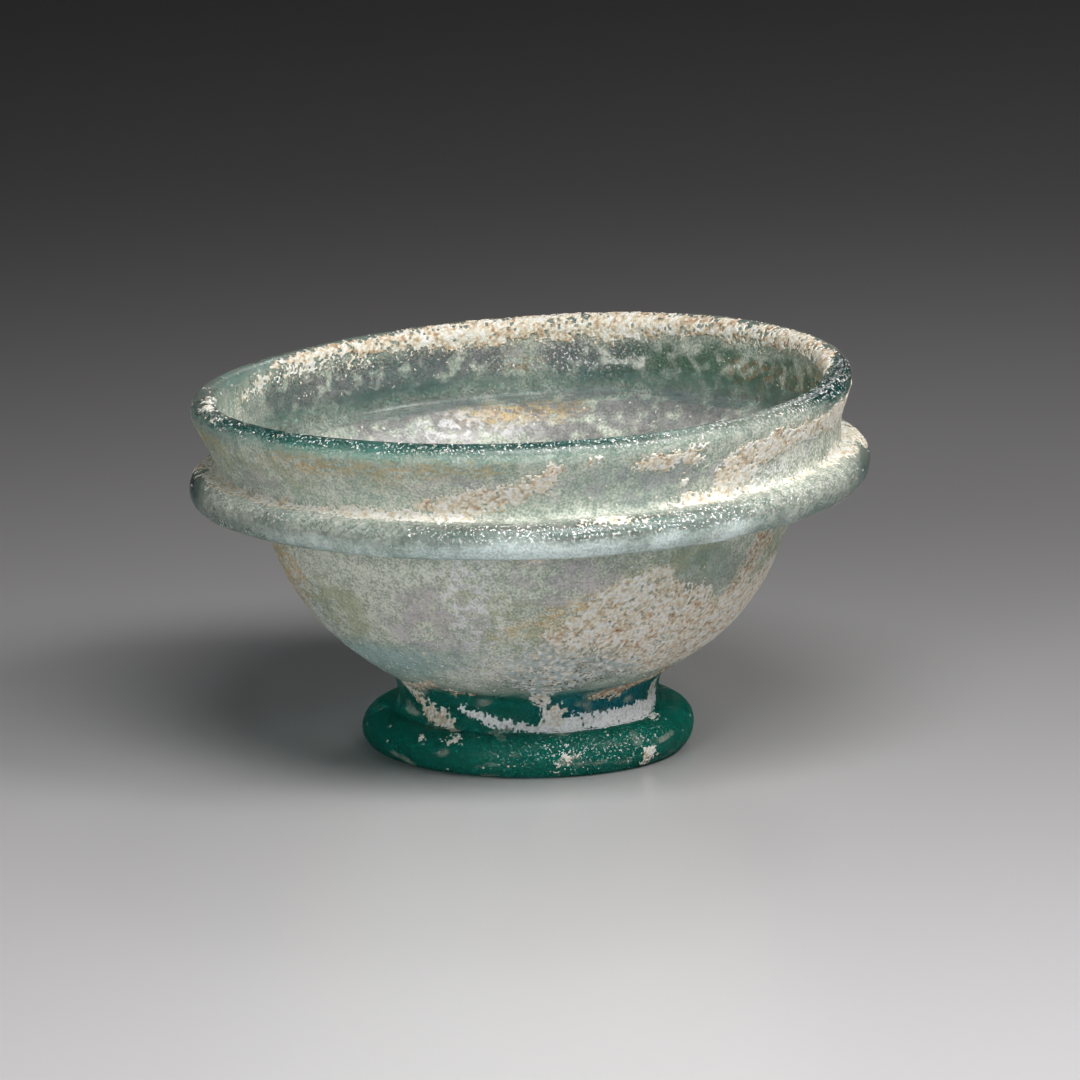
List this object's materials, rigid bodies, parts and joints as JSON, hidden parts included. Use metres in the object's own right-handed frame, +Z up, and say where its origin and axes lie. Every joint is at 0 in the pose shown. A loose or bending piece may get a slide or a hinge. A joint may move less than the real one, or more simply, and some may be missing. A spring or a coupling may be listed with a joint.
{
  "type": "flanged glass bowl",
  "caption": "Blown glass bowl on a thick ring foot, with a rolled flange below a flaring collar; it stands freely and holds small amounts of food or liquid.",
  "frame": {"origin": "on the table, under the middle of the flange", "axes": "+Z up, +X towards the side where the rim stands highest, +Y away from the side that the picture shows"},
  "size_m": [0.088, 0.088, 0.051],
  "materials": {
    "glass": "blue-green glass, dulled and finely pitted by burial",
    "film": "thin milky weathering film, faintly iridescent",
    "crust": "dull granular cream and tan mineral crust"
  },
  "bodies": {
    "root": {"bowl": "glass"}
  },
  "joints": []
}
